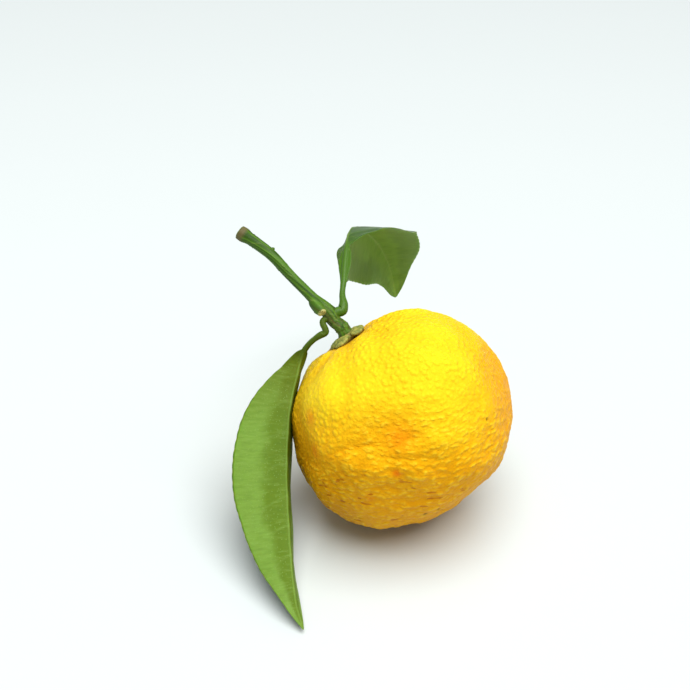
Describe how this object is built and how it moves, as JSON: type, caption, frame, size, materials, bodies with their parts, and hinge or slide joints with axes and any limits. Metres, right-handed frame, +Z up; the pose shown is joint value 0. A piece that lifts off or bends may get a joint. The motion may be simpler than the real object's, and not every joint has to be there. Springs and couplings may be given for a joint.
{
  "type": "yuzu",
  "caption": "Yuzu as picked: a knobbly yellow citrus fruit with its calyx, clipped twig and two glossy leaves, lying on its side.",
  "frame": {"origin": "the point straight under the fruit's centre, on the small flat spot that it rests on", "axes": "+Z up, away from the surface it rests on; the stem end points up, back (+Y) and left (-X), and +Y is the way one looks from the front"},
  "size_m": [0.0832, 0.1452, 0.0809],
  "materials": {
    "rind": "waxy, pebbled",
    "calyx_green": "matte",
    "green_bark": "satin",
    "leaf_green": "satin",
    "leaf_dark_green": "glossy"
  },
  "bodies": {
    "root": {"fruit": "rind", "calyx": "calyx_green", "twig": "green_bark", "leaf_front": "leaf_green", "leaf_back": "leaf_dark_green"}
  },
  "joints": []
}
